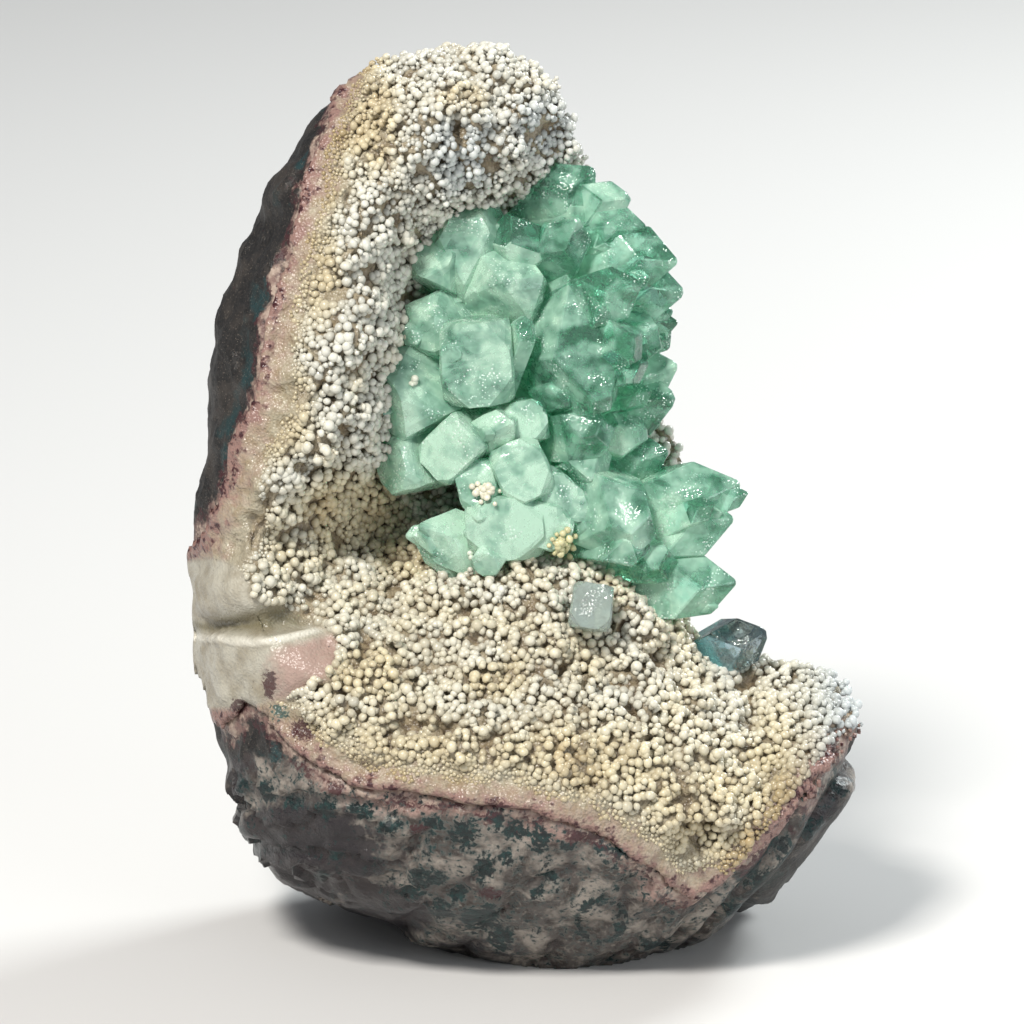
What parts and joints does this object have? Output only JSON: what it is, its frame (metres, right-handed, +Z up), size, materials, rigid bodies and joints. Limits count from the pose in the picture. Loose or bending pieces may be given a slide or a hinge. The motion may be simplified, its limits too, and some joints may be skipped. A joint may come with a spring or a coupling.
{
  "type": "apophyllite crystal cluster on chalcedony-lined basalt",
  "caption": "Broken vug of dark basalt lined with grape-like white chalcedony, holding a fan of pale green apophyllite crystals; stands on its flat foot.",
  "frame": {"origin": "middle of the flat foot on which the rock stands", "axes": "+Z up the standing rock, -Y towards the viewer of the open hollow, +X to the side where the crystals point"},
  "size_m": [0.1353, 0.0946, 0.1815],
  "materials": {
    "basalt": "rough broken basalt with teal-green celadonite patches, maroon seams and a grey-pink chalcedony rind",
    "chalcedony": "glossy off-white balls over a tan layer",
    "apophyllite": "clear to cloudy sea-green crystal",
    "pale_apophyllite": "cloudy pale blue-grey crystal",
    "smoky_apophyllite": "clear smoky crystal with a teal foot"
  },
  "bodies": {
    "root": {"basalt_matrix": "basalt", "chalcedony_crust": "chalcedony", "apophyllite_cluster": "apophyllite", "front_crystal": "pale_apophyllite", "side_crystal": "smoky_apophyllite"}
  },
  "joints": []
}
